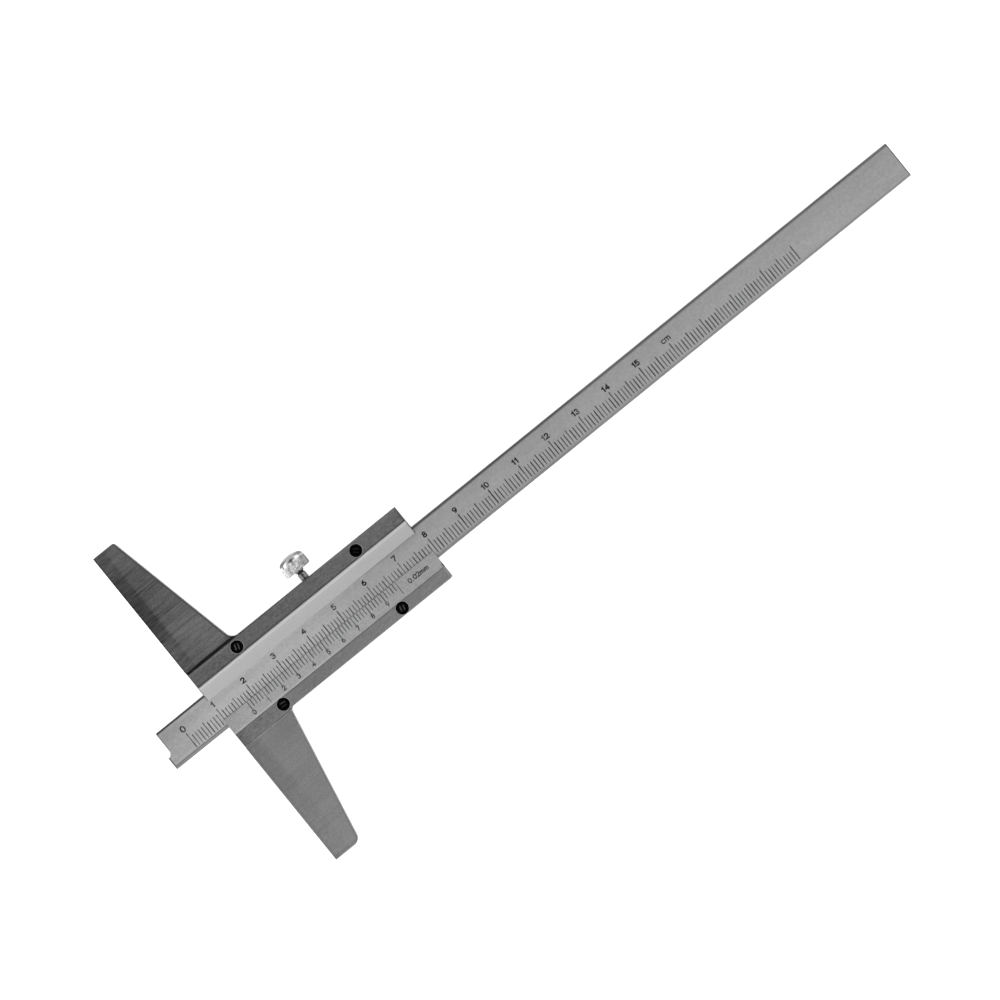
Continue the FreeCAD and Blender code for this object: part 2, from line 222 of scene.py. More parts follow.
def satin(g, seed):
    """Micro-blasted satin chrome: fine speckle, mottling of about half a millimetre and a slow cloud."""
    speck = g.noise((6.2, 6.2, 6.2), 2.0, 0.6, (seed, 2.0, 5.0))
    mottle = g.noise((1.7, 1.9, 1.9), 2.0, 0.55, (seed + 3.0, 4.0, 1.0))
    cloud = g.noise((0.06, 0.22, 0.22), 2.0, 0.5, (seed + 7.0, 1.0, 2.0))
    return speck, mottle, cloud


# ------------------------------------------------------------------ materials
def make_beam_material():
    g = Graph("satin_chrome_beam")
    speck, mottle, cloud = satin(g, 1.0)
    fine, middle, coarse = grain(g, 3.0)
    front = g.mul(g.gt(g.nz, 0.995), g.gt(g.z, 5.5))
    v = g.fade(g.x, (-17.0, tone(158)), (1.0, tone(172)), (26.0, tone(172)), (52.0, tone(158)),
               (90.0, tone(154.5)), (204.0, tone(155)), (216.0, tone(152)))
    v = g.mul(v, g.add(1.0, g.mul(0.035, g.window(g.y, -3.9, -0.9, 0.25), g.smooth(g.x, 40.0, 75.0))))
    # a little darker along the strip that runs under the guide plate, most of all near the probe end
    near = g.smooth(g.x, -7.0, 3.0, 1.0, 0.0)
    darkening = g.mix(0.055, 0.15, near)
    v = g.mul(v, g.sub(1.0, g.mul(darkening, g.smooth(g.y, 0.4, 3.4))))
    v = g.mul(v, g.add(1.0, g.mul(g.mul(near, 0.15), g.smooth(g.y, 3.75, 4.15))))
    v = g.mul(v, g.add(1.0, g.mul(g.mul(near, 0.10), g.smooth(g.y, -4.0, -3.2, 1.0, 0.0))))
    v = g.mul(v, g.smooth(g.y, 3.9, 4.6, 1.0, 0.95))
    v = g.mul(v, g.sub(1.0, g.mul(0.13, g.smooth(g.y, -4.24, -4.04, 1.0, 0.0), g.smooth(g.x, 0.0, 20.0, 1.0, 0.0))))
    # paler line where the guide plate's edge runs along the beam: painted light, lifting the shade of the plate's edge
    v = g.mul(v, g.add(1.0, g.mul(0.10, g.smooth(g.y, 2.5, 3.3), g.window(g.x, 4.0, 71.0, 5.0), g.smooth(g.y, 3.45, 3.7, 1.0, 0.0))))
    # and a darker one inside the upper bevel
    v = g.mul(v, g.sub(1.0, g.mul(g.fade(g.x, (20.0, 0.0), (66.0, 0.50), (150.0, 0.44), (200.0, 0.38)), g.smooth(g.y, 4.34, 4.62))))
    v = g.vary(v, (0.12, speck), (0.42, mottle), (0.12, cloud), (0.14, middle), (0.12, fine))
    drift = g.noise((0.09, 0.0, 0.0), 2.0, 0.6, (6.0, 0.0, 0.0))
    # bevels: the upper one is dark, the lower one mid grey with a wavy dark line at its inner edge
    up = g.vary(g.fade(g.x, (0.0, tone(62, ENV_UP30)), (90.0, tone(66, ENV_UP30)), (150.0, tone(80, ENV_UP30))), (0.9, fine), (0.7, middle), (0.9, drift))
    up = g.mul(up, g.add(1.0, g.mul(g.smooth(g.y, 4.96, 5.14), g.smooth(g.x, 20.0, 60.0), 1.6)))
    lo = g.vary(g.fade(g.x, (-2.0, tone(136, ENV_LO17)), (60.0, tone(140, ENV_LO17)), (226.0, tone(152, ENV_LO17))),
                (0.5, fine), (0.5, middle), (0.35, mottle))
    wave = g.noise((0.35, 0.0, 0.0), 2.0, 0.5, (3.0, 0.0, 0.0))
    mid = g.fade(g.x, (0.0, 0.0), (40.0, -0.36))
    line = g.window(g.sub(g.add(g.y, g.mul(wave, 0.55)), mid), -4.62, -4.36, 0.08)
    lo = g.mul(lo, g.sub(1.0, g.mul(0.34, line)))
    lo = g.mul(lo, g.smooth(g.y, -5.30, -5.16, 0.72, 1.0))
    edge = g.mix(lo, up, g.gt(g.y, 0.0))
    # sides, ends and back
    side = g.vary(0.46, (0.45, fine), (0.35, middle), (0.3, cloud))
    marks = g.mul(g.lt(g.nz, -0.9), g.add(g.mul(0.26, g.scratches(4.0, (3.0, 1.0, 0.0))), g.mul(0.20, g.scratches(-9.0, (8.0, 2.0, 0.0)))))
    side = g.mul(side, g.add(1.0, marks))
    is_edge = g.mul(g.gt(g.nz, 0.70), g.gt(g.math("ABSOLUTE", g.ny), 0.1))
    edge = g.mix(side, edge, is_edge)
    broken = g.mul(g.gt(g.nz, 0.3), g.gt(g.math("ABSOLUTE", g.nx), 0.3))
    edge = g.mix(edge, g.vary(tone(104, ENV_45), (0.4, fine)), broken)
    g.colour(g.mix(edge, v, front))
    g.rough(g.mix(g.add(0.30, g.mul(fine, 0.14)), g.add(0.39, g.mul(speck, 0.12), g.mul(mottle, 0.06)), front))
    g.bump(g.mix(fine, g.add(g.mul(speck, 0.7), g.mul(mottle, 0.4)), front), 0.006)
    return g.m


def make_frame_material():
    g = Graph("ground_steel_frame")
    fine, middle, coarse = grain(g, 11.0)
    cloud = g.noise((0.05, 0.09, 0.09), 2.0, 0.55, (3.0, 8.0, 1.0))
    blot = g.noise((0.45, 1.3, 1.3), 3.0, 0.6, (9.0, 5.0, 2.0))
    up = g.gt(g.y, 0.0)
    # 4 mm strip beside the measuring face, and the rest of each wing: the strips darker and the upper wing darker than
    # the lower one, painted reflection
    u_main = g.mul(g.fade(g.y, (12.0, tone(98)), (15.5, tone(107)), (21.0, tone(106)), (30.0, tone(93)),
                          (41.0, tone(94)), (47.0, tone(103))), g.fade(g.x, (4.0, 0.97), (10.0, 1.09)))
    u_strip = g.fade(g.y, (14.0, tone(83)), (20.0, tone(83)), (23.5, tone(68)), (27.0, tone(61)), (32.0, tone(61)),
                     (41.0, tone(67)), (47.0, tone(80)))
    l_main = g.fade(g.y, (-46.0, tone(137)), (-30.0, tone(137)), (-24.0, tone(133)), (-12.0, tone(134)))
    l_strip = g.fade(g.y, (-46.0, tone(123)), (-34.0, tone(119)), (-24.0, tone(113.5)), (-15.0, tone(110)))
    edge = g.add(g.x, g.mul(coarse, 0.8))
    strip = g.mix(g.smooth(edge, 2.9, 5.3, 1.0, 0.0), g.smooth(edge, 2.9, 4.6, 1.0, 0.0), up)
    v = g.mix(g.mix(l_main, l_strip, strip), g.mix(u_main, u_strip, strip), up)
    fleck = g.noise((2.3, 3.0, 3.0), 2.0, 0.6, (4.0, 9.0, 2.0))
    rows = g.mul(g.mix(0.66, 1.12, strip), g.add(g.mul(fine, 1.40), g.mul(middle, 1.50), g.mul(coarse, 0.45)))
    rows = g.add(rows, g.mul(cloud, 0.20), g.mul(blot, 0.40), g.mul(g.mix(1.15, 0.50, strip), fleck))
    soft = g.add(g.mul(fine, 0.24), g.mul(middle, 0.24), g.mul(coarse, 0.16), g.mul(cloud, 0.10), g.mul(fleck, 0.80))
    v = g.mul(v, g.add(1.0, g.mix(soft, rows, up)))
    # painted lighter just past the crease of the lower wing's shallow bevel and darker just before it, evening out the
    # change of light there, and a darker line at its end
    crease = g.sub(g.mul(0.040, g.gt(g.x, 4.0), g.smooth(g.x, 4.0, 4.6, 1.0, 0.0)), g.mul(0.055, g.lt(g.x, 4.0), g.smooth(g.x, 3.0, 3.7)))
    crease = g.sub(crease, g.mul(0.16, g.window(g.y, -48.75, -48.25, 0.12)))
    v = g.mul(v, g.mix(g.add(1.0, crease), 1.0, up))
    # darker break along the measuring face
    v = g.mul(v, g.mix(g.sub(1.0, g.mul(0.10, g.window(g.x, 0.38, 0.85, 0.14))), g.smooth(g.x, 0.15, 0.45, 0.72, 1.0), up))
    # outline chamfers, darker on the upper wing than on the lower: painted reflection, as on the wings' faces
    ch = g.vary(g.mix(tone(134, ENV_45), tone(85, ENV_45), up), (0.5, fine), (0.8, blot))
    ch = g.mix(ch, g.mix(tone(104, ENV_45), tone(26, ENV_45), up), g.lt(g.x, 0.25))
    # pale dashed line along the lower wing's ledge: painted highlight
    dash = g.noise((0.42, 0.0, 0.0), 2.0, 0.6, (1.7, 0.0, 0.0))
    ledge_highlight = g.mul(g.window(g.y, -12.10, -11.70, 0.02), g.gt(g.z, 6.9), g.lt(g.x, 16.0))
    ch = g.mix(ch, g.mul(g.smooth(dash, -0.12, 0.06, 0.66, 0.80), g.fade(g.x, (0.0, 1.08), (6.0, 0.95), (14.0, 0.80))), ledge_highlight)
    chamfer = g.mul(g.gt(g.nz, 0.2), g.lt(g.nz, 0.985))
    # sides and back: plain ground steel
    side = g.vary(tone(118), (0.44, fine), (0.40, middle), (0.30, cloud), (0.14, blot))
    marks = g.add(g.mul(0.26, g.scratches(12.0, (5.0, 3.0, 0.0))), g.mul(0.22, g.scratches(-31.0, (1.0, 9.0, 0.0))), g.mul(0.20, g.scratches(74.0, (6.0, 2.0, 0.0))))
    side = g.mul(side, g.add(1.0, g.mul(g.lt(g.nz, -0.9), g.add(marks, g.mul(0.35, coarse)))))
    out = g.mix(side, v, g.gt(g.nz, 0.985))
    out = g.mix(out, ch, chamfer)
    # the relief beside the upper wing is painted near black: painted shade in the deep narrow groove
    relief = g.mul(g.window(g.add(g.y, g.mul(blot, 0.22)), 11.58, 12.52, 0.07), g.lt(g.x, 16.6), g.gt(g.z, 5.4))
    out = g.mix(out, g.vary(0.046, (1.3, blot), (1.2, middle)), relief)
    # the channel under the beam is painted dark: painted shade under the beam
    inner = g.mul(g.window(g.y, -5.3, 6.6, 0.02), g.gt(g.z, 2.3), g.gt(g.x, 0.2), g.lt(g.x, 68.6))
    out = g.mix(out, 0.10, inner)
    g.colour(out)
    rough = g.add(0.32, g.mul(g.mix(0.05, 0.14, up), fine), g.mul(g.mix(0.03, 0.10, up), middle), g.mul(cloud, 0.08), g.mul(blot, 0.05))
    g.rough(g.mix(rough, 0.85, g.mul(ledge_highlight, chamfer)))
    g.bump(g.add(fine, g.mul(middle, 0.8)), 0.0035)
    return g.m


def screw_distance(g, y):
    """Distance from the nearer of the two screw axes of a plate."""
    d = []
    for x in SCREW_X:
        dx, dy = g.sub(g.x, x), g.sub(g.y, y)
        d.append(g.math("SQRT", g.add(g.mul(dx, dx), g.mul(dy, dy))))
    return g.math("MINIMUM", d[0], d[1])


def make_guide_material():
    g = Graph("guide_plate_finish")
    fine, middle, coarse = grain(g, 21.0)
    speck, mottle, cloud = satin(g, 23.0)
    blot = g.noise((0.55, 1.1, 1.1), 3.0, 0.6, (6.0, 5.0, 2.0))
    band = g.fade(g.x, (0.0, tone(182)), (40.0, tone(180)), (62.0, tone(177)))
    # painted highlight on the band beside its outer edge, fading along x
    edge_highlight = g.fade(g.x, (10.0, 0.38), (40.0, 0.33), (62.0, 0.20))
    band = g.mul(band, g.add(g.smooth(g.y, 5.6, 6.5, 1.0, 1.03), g.mul(edge_highlight, g.window(g.y, 6.72, 7.20, 0.16))))
    band = g.vary(band, (0.06, speck), (0.08, mottle), (0.05, cloud), (0.04, middle))
    flange = g.fade(g.x, (0.0, tone(102)), (30.0, tone(105)), (62.0, tone(111)))
    # painted shade along the foot of the step
    flange = g.mul(flange, g.smooth(g.y, 7.75, 8.15, 0.62, 1.0))
    flange = g.mul(flange, g.add(1.0, g.mul(0.24, g.window(g.y, 10.95, 11.5, 0.12), g.smooth(g.x, 11.0, 16.0, 1.0, 0.0))))
    flange = g.mul(flange, g.smooth(g.x, 67.8, 68.5, 1.0, 0.75))
    flange = g.vary(flange, (0.25, fine), (0.22, middle), (0.95, mottle), (0.10, coarse), (0.65, blot))
    in_band = g.lt(g.y, 7.505)
    v = g.mix(flange, band, in_band)
    # bright line on the step's broken edge, dark line on the edge beside the beam
    step = g.mul(g.gt(g.ny, 0.5), g.gt(g.z, 7.35), g.lt(g.y, 7.6))
    v = g.mix(v, g.vary(g.fade(g.x, (6.0, tone(158, ENV_45)), (38.0, tone(184, ENV_45)), (62.0, tone(200, ENV_45))), (0.3, fine), (0.5, middle)), step)
    inner = g.mul(g.lt(g.ny, -0.3), g.lt(g.y, 3.7))
    v = g.mix(v, g.vary(g.fade(g.x, (8.0, tone(190, ENV_45)), (45.0, tone(178, ENV_45)), (58.0, tone(130, ENV_45))), (0.6, middle)), inner)
    outer = g.mul(g.gt(g.ny, 0.3), g.gt(g.y, 11.5))
    v = g.mix(v, g.vary(g.fade(g.x, (18.0, tone(74, ENV_45)), (50.0, tone(118, ENV_45))), (0.8, fine), (0.9, blot)), outer)
    # the plate's side wall over the relief groove is painted near black: painted shade
    v = g.mix(v, g.vary(0.06, (1.2, blot)), g.mul(g.gt(g.ny, 0.9), g.gt(g.y, 11.7), g.lt(g.x, 16.4)))
    ends = g.gt(g.math("ABSOLUTE", g.nx), 0.3)
    v = g.mix(v, g.vary(tone(92, ENV_45), (0.5, fine)), ends)
    # broken rims of the screw holes, and the insides of the holes painted near black: painted shade round the screw
    # heads
    d = screw_distance(g, SCREW_Y_UP)
    v = g.mix(v, tone(170, ENV_45), g.mul(g.window(d, 1.68, 1.86, 0.03), g.gt(g.z, 7.1)))
    v = g.mix(v, 0.02, g.mul(g.lt(d, 1.72), g.lt(g.z, 7.2)))
    g.colour(v)
    g.rough(g.mix(g.add(0.32, g.mul(fine, 0.16), g.mul(mottle, 0.06)), g.add(0.37, g.mul(speck, 0.10), g.mul(mottle, 0.05)), in_band))
    g.bump(g.mix(g.add(fine, g.mul(middle, 0.7)), g.add(g.mul(speck, 0.6), g.mul(mottle, 0.4)), in_band), 0.006)
    return g.m


def make_vernier_material():
    g = Graph("vernier_plate_finish")
    fine, middle, coarse = grain(g, 31.0)
    speck, mottle, cloud = satin(g, 33.0)
    blot = g.noise((0.55, 1.1, 1.1), 3.0, 0.6, (2.0, 7.0, 4.0))
    wave = g.noise((0.30, 0.0, 0.0), 3.0, 0.6, (5.0, 0.0, 0.0))
    face = g.fade(g.x, (0.0, tone(151, ENV_VERN)), (7.0, tone(159, ENV_VERN)), (40.0, tone(160, ENV_VERN)), (60.0, tone(155, ENV_VERN)))
    face = g.mul(face, g.smooth(g.y, -3.16, -3.02, 1.0, 0.55))
    face = g.vary(face, (0.14, speck), (0.54, mottle), (0.12, cloud), (0.14, middle))
    land = g.vary(g.fade(g.x, (26.0, tone(170)), (50.0, tone(152))), (0.5, wave), (0.30, mottle))
    yw = g.add(g.y, g.mul(wave, 0.30))
    v = g.mix(land, face, g.smooth(yw, -7.36, -7.22))
    flange = g.fade(g.x, (0.0, tone(105)), (3.5, tone(123)), (10.0, tone(123)), (17.0, tone(129)), (23.0, tone(125)), (52.0, tone(133)))
    # painted shade along the foot of the step, and a little darker near the outer edge past x = 15
    flange = g.mul(flange, g.smooth(g.add(g.y, g.mul(wave, 0.15)), -8.35, -7.95, 1.0, 0.76), g.mix(1.0, g.smooth(g.y, -11.28, -11.0, 0.9, 1.0), g.gt(g.x, 15.0)))
    flange = g.mul(flange, g.smooth(g.x, 68.4, 68.95, 1.0, 1.22))
    front = g.smooth(g.x, 8.0, 16.0, 1.7, 1.0)
    flange = g.vary(flange, (0.16, fine), (0.18, middle), (g.mul(front, 0.60), mottle), (0.08, coarse), (g.mul(front, 0.40), blot))
    on_flange = g.lt(g.y, -7.905)
    v = g.mix(v, flange, on_flange)
    chamfer = g.mul(g.lt(g.ny, -0.5), g.gt(g.z, 7.35), g.gt(g.y, -8.0))
    v = g.mix(v, g.mix(tone(112, ENV_45), tone(168, ENV_45), g.smooth(yw, -7.86, -7.74)), chamfer)
    ends = g.gt(g.math("ABSOLUTE", g.nx), 0.3)
    v = g.mix(v, g.vary(g.mix(tone(80, ENV_45), tone(128, ENV_45), on_flange), (0.5, fine)), ends)
    # broken rims of the screw holes, and the insides of the holes painted near black: painted shade round the screw
    # heads
    d = screw_distance(g, SCREW_Y_LO)
    v = g.mix(v, tone(176, ENV_45), g.mul(g.window(d, 1.68, 1.86, 0.03), g.gt(g.z, 7.1)))
    v = g.mix(v, 0.02, g.mul(g.lt(d, 1.72), g.lt(g.z, 7.2)))
    g.colour(v)
    g.rough(g.mix(g.add(0.43, g.mul(speck, 0.10), g.mul(mottle, 0.05)), g.add(0.32, g.mul(fine, 0.14), g.mul(mottle, 0.05)), on_flange))
    g.bump(g.mix(g.add(g.mul(speck, 0.6), g.mul(mottle, 0.4)), g.add(fine, g.mul(middle, 0.7)), on_flange), 0.004)
    return g.m


def make_spring_material():
    g = Graph("spring_steel_strip")
    fine, middle, coarse = grain(g, 41.0)
    g.colour(g.vary(0.42, (0.3, fine), (0.2, middle)))
    g.rough(g.add(0.34, g.mul(fine, 0.1)))
    return g.m


def make_nickel_material():
    g = Graph("bright_nickel")
    cloud = g.noise((1.05, 0.95, 1.05), 3.0, 0.62, (2.0, 6.0, 1.0))
    speck = g.noise((6.0, 6.0, 6.0), 2.0, 0.6, (1.0, 2.0, 3.0))
    turned = g.noise((0.3, 14.0, 0.3), 2.0, 0.6, (3.0, 1.0, 2.0))
    dx, dz = g.sub(g.x, CL_X), g.sub(g.z, CL_Z)
    r = g.math("SQRT", g.add(g.mul(dx, dx), g.mul(dz, dz)))
    v = g.vary(0.95, (0.10, cloud), (0.06, speck))
    # dull grooves and handling stains of the knurl
    # the knurl: painted shade in its grooves, darker blotches away from its left edge and a run from lighter on the
    # left to darker on the right, painted light and shade
    knurl = g.window(g.y, 14.95, 17.55, 0.05)
    v = g.mul(v, g.sub(1.0, g.mul(0.30, knurl, g.smooth(r, 3.55, 3.69, 1.0, 0.0))))
    v = g.mul(v, g.sub(1.0, g.mul(0.40, knurl, g.smooth(cloud, -0.05, 0.07), g.smooth(dx, -2.9, -1.6))))
    v = g.mul(v, g.mix(1.0, g.fade(dx, (-3.7, 1.40), (-2.2, 1.06), (1.6, 1.0), (2.9, 0.66)), knurl))
    # the domed end is painted darker, most of all on its left: painted dark reflection
    arc = g.add(g.y, g.mul(g.mul(dx, dx), 0.040))
    darkening = g.fade(dx, (-2.5, 0.36), (0.0, 0.43), (2.2, 0.80))
    v = g.mul(v, g.mix(1.0, darkening, g.smooth(arc, 18.34, 18.74)))
    # a dark T-shaped patch on the shoulder and down over the knurl, top side only: painted reflection
    slant = g.sub(g.y, g.mul(dx, 0.13))
    reflection_patch = g.mul(g.window(dx, -1.70, 1.05, 0.30), g.window(slant, 17.76, 18.42, 0.16), g.add(0.40, g.mul(0.26, g.window(dx, -0.60, 0.30, 0.25))))
    run = g.mul(g.window(dx, -0.42, 0.36, 0.22), g.window(g.y, 16.7, 17.9, 0.30), 0.42)
    v = g.mul(v, g.sub(1.0, g.mul(g.math("MAXIMUM", reflection_patch, run), g.gt(g.z, CL_Z + 1.0))))
    # the stem is plain steel, with a dark line along its top painted as a reflection; its relief groove is painted near
    # black, painted shade
    stem = g.lt(g.y, 14.83)
    v = g.mix(v, g.vary(g.sub(0.27, g.mul(0.15, g.window(dx, -0.35, 0.25, 0.15), g.gt(g.z, CL_Z))), (0.6, turned), (0.4, cloud)), stem)
    v = g.mix(v, 0.02, g.window(g.y, 13.98, 14.42, 0.05))
    g.colour(v)
    g.rough(g.add(0.15, g.mul(cloud, 0.10), g.mul(speck, 0.05), g.smooth(g.y, 18.8, 19.2, 0.0, 0.12)))
    g.bump(g.add(speck, g.mul(turned, 0.3)), 0.002)
    return g.m


def make_black_material(name, level, spec, bare=False):
    g = Graph(name, metallic=1.0 if bare else 0.0)
    speck = g.noise((5.0, 5.0, 5.0), 3.0, 0.6, (4.0, 4.0, 4.0))
    ring = g.noise((1.1, 1.1, 1.1), 2.0, 0.5, (8.0, 1.0, 2.0))
    # two of the four have had more use than the others
    used = g.mix(g.mix(0.20, 0.62, g.lt(g.y, 0.0)), g.mix(0.80, 1.0, g.gt(g.y, 0.0)), g.lt(g.mul(g.sub(g.x, 34.0), g.y), 0.0))
    patch = g.math("MAXIMUM", g.add(g.mul(speck, 0.6), ring), 0.0)
    v = g.add(g.mul(level, used), g.mul(patch, used, 0.008 + level))
    if bare:
        # rubbed through at the middle of the slot's edges only
        d = g.math("MINIMUM", screw_distance(g, SCREW_Y_UP), screw_distance(g, SCREW_Y_LO))
        v = g.mul(v, g.smooth(g.add(d, g.mul(ring, 0.45)), 0.68, 1.10, 1.0, 0.03))
    g.colour(v)
    g.rough(g.add(0.36, g.mul(speck, 0.2)))
    g.b.inputs["Specular IOR Level"].default_value = spec
    g.bump(speck, 0.006)
    return g.m


def make_ink_material(name, level, lost, far=1.0):
    g = Graph(name, metallic=0.0)
    wear = g.noise((1.7, 1.7, 1.7), 3.0, 0.6, (5.0, 3.0, 1.0))
    line = g.noise((1.3, 0.15, 0.0), 1.0, 0.5, (2.0, 1.0, 0.0))
    v = g.mul(level, g.smooth(g.x, 60.0, 74.0, 1.0, far), g.add(1.0, g.mul(wear, 0.8)))
    v = g.add(v, g.smooth(g.add(line, g.mul(wear, 0.4)), 0.0, 0.20, 0.0, lost))
    g.colour(v)
    g.rough(g.add(0.55, g.mul(wear, 0.2)))
    g.b.inputs["Specular IOR Level"].default_value = 0.2
    return g.m


# ------------------------------------------------------------------ mesh helpers
def new_object(name, bm, mat, smooth=False):
    bmesh.ops.remove_doubles(bm, verts=bm.verts, dist=1e-9)
    bmesh.ops.recalc_face_normals(bm, faces=bm.faces)
    me = bpy.data.meshes.new(name)
    bm.to_mesh(me)
    bm.free()
    me.materials.append(mat)
    if smooth:
        me.polygons.foreach_set("use_smooth", [True] * len(me.polygons))
    o = bpy.data.objects.new(name, me)
    S.collection.objects.link(o)
    return o


def lathe(bm, profile, place, seg=64):
    """Closed solid of revolution. profile: (radius, height) from the bottom axis point to the top axis point.
    place(radius, height, angle) gives the point in millimetres."""
    rings = []
    for r, h in profile:
        if r < 1e-6:
            rings.append([bm.verts.new(Vector(place(0.0, h, 0.0)) * MM)])
        else:
            rings.append([bm.verts.new(Vector(place(r, h, 2 * math.pi * i / seg)) * MM) for i in range(seg)])
    for a, b in zip(rings[:-1], rings[1:]):
        for i in range(seg):
            j = (i + 1) % seg
            if len(a) == 1 and len(b) == 1:
                continue
            if len(a) == 1:
                bm.faces.new((a[0], b[j], b[i]))
            elif len(b) == 1:
                bm.faces.new((a[i], a[j], b[0]))
            else:
                bm.faces.new((a[i], a[j], b[j], b[i]))
    return rings


def arc_points(cx, cy, rx, ry, a0, a1, n=14):
    return [(cx + rx * math.cos(math.radians(a0 + (a1 - a0) * i / n)),
             cy + ry * math.sin(math.radians(a0 + (a1 - a0) * i / n))) for i in range(n + 1)]


def cut_with(obj, cutter):
    """Boolean difference, applied."""
    mod = obj.modifiers.new("cut", "BOOLEAN")
    mod.operation = "DIFFERENCE"
    mod.solver = "EXACT"
    mod.object = cutter
    dg = bpy.context.evaluated_depsgraph_get()
    me = bpy.data.meshes.new_from_object(obj.evaluated_get(dg))
    obj.modifiers.clear()
    old = obj.data
    obj.data = me
    bpy.data.meshes.remove(old)
    bpy.data.objects.remove(cutter)


def sharp_by_angle(obj, degrees):
    """Smooth shading with sharp edges kept at more than this angle."""
    me = obj.data
    me.polygons.foreach_set("use_smooth", [True] * len(me.polygons))
    bm = bmesh.new()
    bm.from_mesh(me)
    lim = math.radians(degrees)
    for e in bm.edges:
        e.smooth = not (len(e.link_faces) != 2 or e.calc_face_angle(0.0) > lim)
    bm.to_mesh(me)
    bm.free()


# ------------------------------------------------------------------ engraved and filled marks
def prism(bm, loop, top, bottom):
    """Closed thin prism over a flat outline; top and bottom give the height at (x, y), in millimetres."""
    up = [bm.verts.new(Vector((x, y, top(x, y))) * MM) for x, y in loop]
    dn = [bm.verts.new(Vector((x, y, bottom(x, y))) * MM) for x, y in loop]
    bm.faces.new(up)
    bm.faces.new(dn[::-1])
    n = len(loop)
    for i in range(n):
        j = (i + 1) % n
        bm.faces.new((up[i], dn[i], dn[j], up[j]))


def stroke(bm, pts, half, top, bottom, closed=False):
    """A line of even width with round ends, or a closed ring, as a thin solid."""
    n = len(pts)

    def direction(a, b):
        d = Vector((b[0] - a[0], b[1] - a[1]))
        return d.normalized() if d.length > 1e-9 else Vector((1.0, 0.0))

    left, right = [], []
    for i in range(n):
        if closed:
            d0, d1 = direction(pts[i - 1], pts[i]), direction(pts[i], pts[(i + 1) % n])
        else:
            d0 = direction(pts[i - 1], pts[i]) if i else direction(pts[0], pts[1])
            d1 = direction(pts[i], pts[i + 1]) if i < n - 1 else d0
        t = d0 + d1
        t = t.normalized() if t.length > 1e-6 else d1
        nrm = Vector((-t.y, t.x))
        k = half / max(0.45, abs(nrm.dot(Vector((-d0.y, d0.x)))))
        p = Vector(pts[i])
        left.append(tuple(p + nrm * k))
        right.append(tuple(p - nrm * k))
    if closed:
        lu = [bm.verts.new(Vector((x, y, top(x, y))) * MM) for x, y in left]
        ru = [bm.verts.new(Vector((x, y, top(x, y))) * MM) for x, y in right]
        ld = [bm.verts.new(Vector((x, y, bottom(x, y))) * MM) for x, y in left]
        rd = [bm.verts.new(Vector((x, y, bottom(x, y))) * MM) for x, y in right]
        for i in range(n):
            j = (i + 1) % n
            bm.faces.new((lu[i], lu[j], ru[j], ru[i]))
            bm.faces.new((ld[i], rd[i], rd[j], ld[j]))
            bm.faces.new((lu[i], ld[i], ld[j], lu[j]))
            bm.faces.new((ru[i], ru[j], rd[j], rd[i]))
        return
    caps = 5
    d = direction(pts[-1], pts[-2])
    a0 = math.atan2(-d.y, -d.x)
    end = [(pts[-1][0] + half * math.cos(a0 + math.pi / 2 - math.pi * i / (caps + 1)),
            pts[-1][1] + half * math.sin(a0 + math.pi / 2 - math.pi * i / (caps + 1))) for i in range(1, caps + 1)]
    d = direction(pts[0], pts[1])
    a0 = math.atan2(-d.y, -d.x)
    start = [(pts[0][0] + half * math.cos(a0 + math.pi / 2 - math.pi * i / (caps + 1)),
              pts[0][1] + half * math.sin(a0 + math.pi / 2 - math.pi * i / (caps + 1))) for i in range(1, caps + 1)]
    lu = [bm.verts.new(Vector((x, y, top(x, y))) * MM) for x, y in left]
    ru = [bm.verts.new(Vector((x, y, top(x, y))) * MM) for x, y in right]
    ld = [bm.verts.new(Vector((x, y, bottom(x, y))) * MM) for x, y in left]
    rd = [bm.verts.new(Vector((x, y, bottom(x, y))) * MM) for x, y in right]
    for i in range(n - 1):
        bm.faces.new((lu[i], lu[i + 1], ru[i + 1], ru[i]))
        bm.faces.new((ld[i], rd[i], rd[i + 1], ld[i + 1]))
        bm.faces.new((lu[i], ld[i], ld[i + 1], lu[i + 1]))
        bm.faces.new((ru[i], ru[i + 1], rd[i + 1], rd[i]))
    for cap, a, b, ad, bd in ((end, lu[-1], ru[-1], ld[-1], rd[-1]), (start, ru[0], lu[0], rd[0], ld[0])):
        cu = [bm.verts.new(Vector((x, y, top(x, y))) * MM) for x, y in cap]
        cd = [bm.verts.new(Vector((x, y, bottom(x, y))) * MM) for x, y in cap]
        bm.faces.new([a] + cu + [b])
        bm.faces.new([bd] + cd[::-1] + [ad])
        chain_u, chain_d = [a] + cu + [b], [ad] + cd + [bd]
        for i in range(len(chain_u) - 1):
            bm.faces.new((chain_u[i], chain_d[i], chain_d[i + 1], chain_u[i + 1]))


